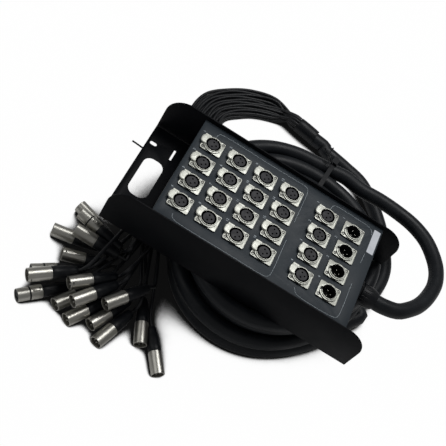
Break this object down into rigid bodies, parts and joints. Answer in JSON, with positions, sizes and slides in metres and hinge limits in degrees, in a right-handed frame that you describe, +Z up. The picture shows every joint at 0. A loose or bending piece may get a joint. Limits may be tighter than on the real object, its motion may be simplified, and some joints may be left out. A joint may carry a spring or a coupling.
{
  "type": "stage box snake",
  "caption": "Stage box with rows of round audio sockets between two tall side cheeks, resting on its coiled multicore cable, whose far end fans out into thin tails with cable plugs.",
  "frame": {"origin": "centre of the box's bounding box, the cable and what is on it left out", "axes": "+X along the box towards the end the cable leaves, +Y across it towards the cheek nearer the cable's loop, +Z up, out of the socket panel"},
  "size_m": [0.5241, 0.5617, 0.1658],
  "materials": {
    "black_steel": "fine textured black powder coat",
    "grey_panel": "satin dark grey paint",
    "satin_nickel": "satin nickel plate",
    "black_plastic": "moulded, slightly glossy",
    "black_rubber": "matt",
    "cable_jacket": "soft satin jacket"
  },
  "bodies": {
    "box": {"chassis": "black_steel", "cheek_front": "black_steel", "cheek_rear": "black_steel", "connector_panel": "grey_panel", "send_socket_1": "satin_nickel", "send_socket_2": "satin_nickel", "send_socket_3": "satin_nickel", "send_socket_4": "satin_nickel", "gland_body": "black_plastic", "gland_nut": "black_plastic", "trunk_lead": "cable_jacket", "trunk_coil": "cable_jacket", "trunk_end": "cable_jacket", "coil_tie": "black_plastic", "breakout_boot": "black_rubber", "fanout_tails": "cable_jacket", "male_plug_1": "satin_nickel", "male_plug_2": "satin_nickel", "male_plug_3": "satin_nickel", "male_plug_4": "satin_nickel", "male_plug_5": "satin_nickel", "male_plug_6": "satin_nickel", "male_plug_7": "satin_nickel", "male_plug_8": "satin_nickel", "male_plug_9": "satin_nickel", "male_plug_10": "satin_nickel", "male_plug_11": "satin_nickel", "male_plug_12": "satin_nickel", "male_plug_13": "satin_nickel", "male_plug_14": "satin_nickel", "male_plug_15": "satin_nickel", "male_plug_16": "satin_nickel", "female_plug_1": "satin_nickel", "female_plug_2": "satin_nickel", "female_plug_3": "satin_nickel", "female_plug_4": "satin_nickel"},
    "input_tab_1": {"input_tab_1": "satin_nickel"},
    "input_tab_2": {"input_tab_2": "satin_nickel"},
    "input_tab_3": {"input_tab_3": "satin_nickel"},
    "input_tab_4": {"input_tab_4": "satin_nickel"},
    "input_tab_5": {"input_tab_5": "satin_nickel"},
    "input_tab_6": {"input_tab_6": "satin_nickel"},
    "input_tab_7": {"input_tab_7": "satin_nickel"},
    "input_tab_8": {"input_tab_8": "satin_nickel"},
    "input_tab_9": {"input_tab_9": "satin_nickel"},
    "input_tab_10": {"input_tab_10": "satin_nickel"},
    "input_tab_11": {"input_tab_11": "satin_nickel"},
    "input_tab_12": {"input_tab_12": "satin_nickel"},
    "input_tab_13": {"input_tab_13": "satin_nickel"},
    "input_tab_14": {"input_tab_14": "satin_nickel"},
    "input_tab_15": {"input_tab_15": "satin_nickel"},
    "input_tab_16": {"input_tab_16": "satin_nickel"},
    "return_tab_1": {"return_tab_1": "satin_nickel"},
    "return_tab_2": {"return_tab_2": "satin_nickel"},
    "return_tab_3": {"return_tab_3": "satin_nickel"},
    "return_tab_4": {"return_tab_4": "satin_nickel"},
    "female_plug_latch_1": {"female_plug_latch_1": "satin_nickel"},
    "female_plug_latch_2": {"female_plug_latch_2": "satin_nickel"},
    "female_plug_latch_3": {"female_plug_latch_3": "satin_nickel"},
    "female_plug_latch_4": {"female_plug_latch_4": "satin_nickel"}
  },
  "joints": [
    {"name": "input_tab_1_press", "type": "slide", "parent": "box", "child": "input_tab_1", "axis": [0, 0, -1], "range_m": [0, 0.0016], "stiffness_N_per_m": 2600, "springref_m": -0.0006},
    {"name": "input_tab_2_press", "type": "slide", "parent": "box", "child": "input_tab_2", "axis": [0, 0, -1], "range_m": [0, 0.0016], "stiffness_N_per_m": 2600, "springref_m": -0.0006},
    {"name": "input_tab_3_press", "type": "slide", "parent": "box", "child": "input_tab_3", "axis": [0, 0, -1], "range_m": [0, 0.0016], "stiffness_N_per_m": 2600, "springref_m": -0.0006},
    {"name": "input_tab_4_press", "type": "slide", "parent": "box", "child": "input_tab_4", "axis": [0, 0, -1], "range_m": [0, 0.0016], "stiffness_N_per_m": 2600, "springref_m": -0.0006},
    {"name": "input_tab_5_press", "type": "slide", "parent": "box", "child": "input_tab_5", "axis": [0, 0, -1], "range_m": [0, 0.0016], "stiffness_N_per_m": 2600, "springref_m": -0.0006},
    {"name": "input_tab_6_press", "type": "slide", "parent": "box", "child": "input_tab_6", "axis": [0, 0, -1], "range_m": [0, 0.0016], "stiffness_N_per_m": 2600, "springref_m": -0.0006},
    {"name": "input_tab_7_press", "type": "slide", "parent": "box", "child": "input_tab_7", "axis": [0, 0, -1], "range_m": [0, 0.0016], "stiffness_N_per_m": 2600, "springref_m": -0.0006},
    {"name": "input_tab_8_press", "type": "slide", "parent": "box", "child": "input_tab_8", "axis": [0, 0, -1], "range_m": [0, 0.0016], "stiffness_N_per_m": 2600, "springref_m": -0.0006},
    {"name": "input_tab_9_press", "type": "slide", "parent": "box", "child": "input_tab_9", "axis": [0, 0, -1], "range_m": [0, 0.0016], "stiffness_N_per_m": 2600, "springref_m": -0.0006},
    {"name": "input_tab_10_press", "type": "slide", "parent": "box", "child": "input_tab_10", "axis": [0, 0, -1], "range_m": [0, 0.0016], "stiffness_N_per_m": 2600, "springref_m": -0.0006},
    {"name": "input_tab_11_press", "type": "slide", "parent": "box", "child": "input_tab_11", "axis": [0, 0, -1], "range_m": [0, 0.0016], "stiffness_N_per_m": 2600, "springref_m": -0.0006},
    {"name": "input_tab_12_press", "type": "slide", "parent": "box", "child": "input_tab_12", "axis": [0, 0, -1], "range_m": [0, 0.0016], "stiffness_N_per_m": 2600, "springref_m": -0.0006},
    {"name": "input_tab_13_press", "type": "slide", "parent": "box", "child": "input_tab_13", "axis": [0, 0, -1], "range_m": [0, 0.0016], "stiffness_N_per_m": 2600, "springref_m": -0.0006},
    {"name": "input_tab_14_press", "type": "slide", "parent": "box", "child": "input_tab_14", "axis": [0, 0, -1], "range_m": [0, 0.0016], "stiffness_N_per_m": 2600, "springref_m": -0.0006},
    {"name": "input_tab_15_press", "type": "slide", "parent": "box", "child": "input_tab_15", "axis": [0, 0, -1], "range_m": [0, 0.0016], "stiffness_N_per_m": 2600, "springref_m": -0.0006},
    {"name": "input_tab_16_press", "type": "slide", "parent": "box", "child": "input_tab_16", "axis": [0, 0, -1], "range_m": [0, 0.0016], "stiffness_N_per_m": 2600, "springref_m": -0.0006},
    {"name": "return_tab_1_press", "type": "slide", "parent": "box", "child": "return_tab_1", "axis": [0, 0, -1], "range_m": [0, 0.0016], "stiffness_N_per_m": 2600, "springref_m": -0.0006},
    {"name": "return_tab_2_press", "type": "slide", "parent": "box", "child": "return_tab_2", "axis": [0, 0, -1], "range_m": [0, 0.0016], "stiffness_N_per_m": 2600, "springref_m": -0.0006},
    {"name": "return_tab_3_press", "type": "slide", "parent": "box", "child": "return_tab_3", "axis": [0, 0, -1], "range_m": [0, 0.0016], "stiffness_N_per_m": 2600, "springref_m": -0.0006},
    {"name": "return_tab_4_press", "type": "slide", "parent": "box", "child": "return_tab_4", "axis": [0, 0, -1], "range_m": [0, 0.0016], "stiffness_N_per_m": 2600, "springref_m": -0.0006},
    {"name": "female_plug_latch_1_press", "type": "slide", "parent": "box", "child": "female_plug_latch_1", "axis": [0, 0, -1], "range_m": [0, 0.001], "stiffness_N_per_m": 2400, "springref_m": -0.0006},
    {"name": "female_plug_latch_2_press", "type": "slide", "parent": "box", "child": "female_plug_latch_2", "axis": [0, 0, -1], "range_m": [0, 0.001], "stiffness_N_per_m": 2400, "springref_m": -0.0006},
    {"name": "female_plug_latch_3_press", "type": "slide", "parent": "box", "child": "female_plug_latch_3", "axis": [0, 0, -1], "range_m": [0, 0.001], "stiffness_N_per_m": 2400, "springref_m": -0.0006},
    {"name": "female_plug_latch_4_press", "type": "slide", "parent": "box", "child": "female_plug_latch_4", "axis": [0, 0, -1], "range_m": [0, 0.001], "stiffness_N_per_m": 2400, "springref_m": -0.0006}
  ]
}
